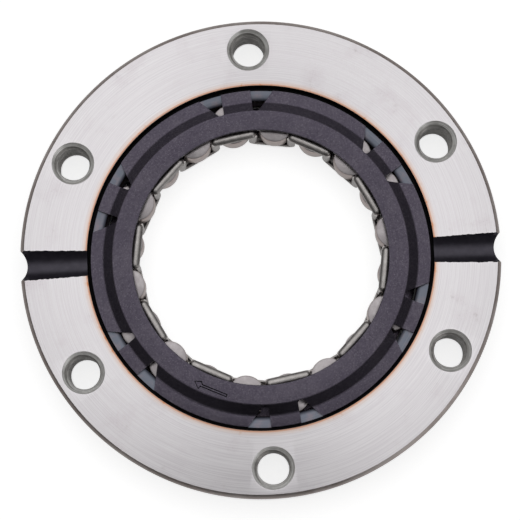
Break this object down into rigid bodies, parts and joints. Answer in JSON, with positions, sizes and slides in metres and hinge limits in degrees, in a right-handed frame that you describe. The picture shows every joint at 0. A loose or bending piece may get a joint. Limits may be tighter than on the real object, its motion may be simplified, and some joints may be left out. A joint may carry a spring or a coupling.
{
  "type": "sprag clutch",
  "caption": "One-way clutch: a bolt-on steel outer race holds a pressed cage of tilting sprags and a meander spring that lock on an inner race one way and overrun the other.",
  "frame": {"origin": "on the clutch axis, at the race's flat back face", "axes": "+Z along the clutch axis, from the back face towards the cage flange; the two oil channels run along X"},
  "size_m": [0.0998, 0.1, 0.0095],
  "materials": {
    "race_steel": "ground",
    "cage_black": "matte black oxide",
    "spring_steel": "polished",
    "sprag_steel": "satin"
  },
  "bodies": {
    "outer_race": {"outer_race": "race_steel"},
    "cage": {"cage": "cage_black", "cage_rear_ring": "cage_black", "energising_spring": "spring_steel"},
    "sprag_01": {"sprag_01": "sprag_steel"},
    "sprag_02": {"sprag_02": "sprag_steel"},
    "sprag_03": {"sprag_03": "sprag_steel"},
    "sprag_04": {"sprag_04": "sprag_steel"},
    "sprag_05": {"sprag_05": "sprag_steel"},
    "sprag_06": {"sprag_06": "sprag_steel"},
    "sprag_07": {"sprag_07": "sprag_steel"},
    "sprag_08": {"sprag_08": "sprag_steel"},
    "sprag_09": {"sprag_09": "sprag_steel"},
    "sprag_10": {"sprag_10": "sprag_steel"},
    "sprag_11": {"sprag_11": "sprag_steel"},
    "sprag_12": {"sprag_12": "sprag_steel"},
    "sprag_13": {"sprag_13": "sprag_steel"},
    "sprag_14": {"sprag_14": "sprag_steel"},
    "sprag_15": {"sprag_15": "sprag_steel"},
    "sprag_16": {"sprag_16": "sprag_steel"},
    "sprag_17": {"sprag_17": "sprag_steel"},
    "sprag_18": {"sprag_18": "sprag_steel"},
    "sprag_19": {"sprag_19": "sprag_steel"},
    "sprag_20": {"sprag_20": "sprag_steel"}
  },
  "joints": [
    {"name": "cage_turn", "type": "hinge", "parent": "outer_race", "child": "cage", "pos_m": [0, 0, 0.00475], "axis": [0, 0, 1], "continuous": true},
    {"name": "sprag_01_tilt", "type": "hinge", "parent": "cage", "child": "sprag_01", "pos_m": [0.02873, 0.00527, 0.0043], "axis": [0, 0, 1], "range_deg": [0, 20], "stiffness_Nm_per_rad": 0.02, "springref_deg": -5.73},
    {"name": "sprag_02_tilt", "type": "hinge", "parent": "cage", "child": "sprag_02", "pos_m": [0.0257, 0.01389, 0.0043], "axis": [0, 0, 1], "range_deg": [0, 20]},
    {"name": "sprag_03_tilt", "type": "hinge", "parent": "cage", "child": "sprag_03", "pos_m": [0.02015, 0.02115, 0.0043], "axis": [0, 0, 1], "range_deg": [0, 20]},
    {"name": "sprag_04_tilt", "type": "hinge", "parent": "cage", "child": "sprag_04", "pos_m": [0.01262, 0.02634, 0.0043], "axis": [0, 0, 1], "range_deg": [0, 20]},
    {"name": "sprag_05_tilt", "type": "hinge", "parent": "cage", "child": "sprag_05", "pos_m": [0.00386, 0.02896, 0.0043], "axis": [0, 0, 1], "range_deg": [0, 20]},
    {"name": "sprag_06_tilt", "type": "hinge", "parent": "cage", "child": "sprag_06", "pos_m": [-0.00527, 0.02873, 0.0043], "axis": [0, 0, 1], "range_deg": [0, 20]},
    {"name": "sprag_07_tilt", "type": "hinge", "parent": "cage", "child": "sprag_07", "pos_m": [-0.01389, 0.0257, 0.0043], "axis": [0, 0, 1], "range_deg": [0, 20]},
    {"name": "sprag_08_tilt", "type": "hinge", "parent": "cage", "child": "sprag_08", "pos_m": [-0.02115, 0.02015, 0.0043], "axis": [0, 0, 1], "range_deg": [0, 20]},
    {"name": "sprag_09_tilt", "type": "hinge", "parent": "cage", "child": "sprag_09", "pos_m": [-0.02634, 0.01262, 0.0043], "axis": [0, 0, 1], "range_deg": [0, 20]},
    {"name": "sprag_10_tilt", "type": "hinge", "parent": "cage", "child": "sprag_10", "pos_m": [-0.02896, 0.00386, 0.0043], "axis": [0, 0, 1], "range_deg": [0, 20]},
    {"name": "sprag_11_tilt", "type": "hinge", "parent": "cage", "child": "sprag_11", "pos_m": [-0.02873, -0.00527, 0.0043], "axis": [0, 0, 1], "range_deg": [0, 20]},
    {"name": "sprag_12_tilt", "type": "hinge", "parent": "cage", "child": "sprag_12", "pos_m": [-0.0257, -0.01389, 0.0043], "axis": [0, 0, 1], "range_deg": [0, 20]},
    {"name": "sprag_13_tilt", "type": "hinge", "parent": "cage", "child": "sprag_13", "pos_m": [-0.02015, -0.02115, 0.0043], "axis": [0, 0, 1], "range_deg": [0, 20]},
    {"name": "sprag_14_tilt", "type": "hinge", "parent": "cage", "child": "sprag_14", "pos_m": [-0.01262, -0.02634, 0.0043], "axis": [0, 0, 1], "range_deg": [0, 20]},
    {"name": "sprag_15_tilt", "type": "hinge", "parent": "cage", "child": "sprag_15", "pos_m": [-0.00386, -0.02896, 0.0043], "axis": [0, 0, 1], "range_deg": [0, 20]},
    {"name": "sprag_16_tilt", "type": "hinge", "parent": "cage", "child": "sprag_16", "pos_m": [0.00527, -0.02873, 0.0043], "axis": [0, 0, 1], "range_deg": [0, 20]},
    {"name": "sprag_17_tilt", "type": "hinge", "parent": "cage", "child": "sprag_17", "pos_m": [0.01389, -0.0257, 0.0043], "axis": [0, 0, 1], "range_deg": [0, 20]},
    {"name": "sprag_18_tilt", "type": "hinge", "parent": "cage", "child": "sprag_18", "pos_m": [0.02115, -0.02015, 0.0043], "axis": [0, 0, 1], "range_deg": [0, 20]},
    {"name": "sprag_19_tilt", "type": "hinge", "parent": "cage", "child": "sprag_19", "pos_m": [0.02634, -0.01262, 0.0043], "axis": [0, 0, 1], "range_deg": [0, 20]},
    {"name": "sprag_20_tilt", "type": "hinge", "parent": "cage", "child": "sprag_20", "pos_m": [0.02896, -0.00386, 0.0043], "axis": [0, 0, 1], "range_deg": [0, 20]}
  ],
  "couplings": [
    {"joint": "sprag_02_tilt", "follows": "sprag_01_tilt", "ratio": 1},
    {"joint": "sprag_03_tilt", "follows": "sprag_01_tilt", "ratio": 1},
    {"joint": "sprag_04_tilt", "follows": "sprag_01_tilt", "ratio": 1},
    {"joint": "sprag_05_tilt", "follows": "sprag_01_tilt", "ratio": 1},
    {"joint": "sprag_06_tilt", "follows": "sprag_01_tilt", "ratio": 1},
    {"joint": "sprag_07_tilt", "follows": "sprag_01_tilt", "ratio": 1},
    {"joint": "sprag_08_tilt", "follows": "sprag_01_tilt", "ratio": 1},
    {"joint": "sprag_09_tilt", "follows": "sprag_01_tilt", "ratio": 1},
    {"joint": "sprag_10_tilt", "follows": "sprag_01_tilt", "ratio": 1},
    {"joint": "sprag_11_tilt", "follows": "sprag_01_tilt", "ratio": 1},
    {"joint": "sprag_12_tilt", "follows": "sprag_01_tilt", "ratio": 1},
    {"joint": "sprag_13_tilt", "follows": "sprag_01_tilt", "ratio": 1},
    {"joint": "sprag_14_tilt", "follows": "sprag_01_tilt", "ratio": 1},
    {"joint": "sprag_15_tilt", "follows": "sprag_01_tilt", "ratio": 1},
    {"joint": "sprag_16_tilt", "follows": "sprag_01_tilt", "ratio": 1},
    {"joint": "sprag_17_tilt", "follows": "sprag_01_tilt", "ratio": 1},
    {"joint": "sprag_18_tilt", "follows": "sprag_01_tilt", "ratio": 1},
    {"joint": "sprag_19_tilt", "follows": "sprag_01_tilt", "ratio": 1},
    {"joint": "sprag_20_tilt", "follows": "sprag_01_tilt", "ratio": 1}
  ]
}
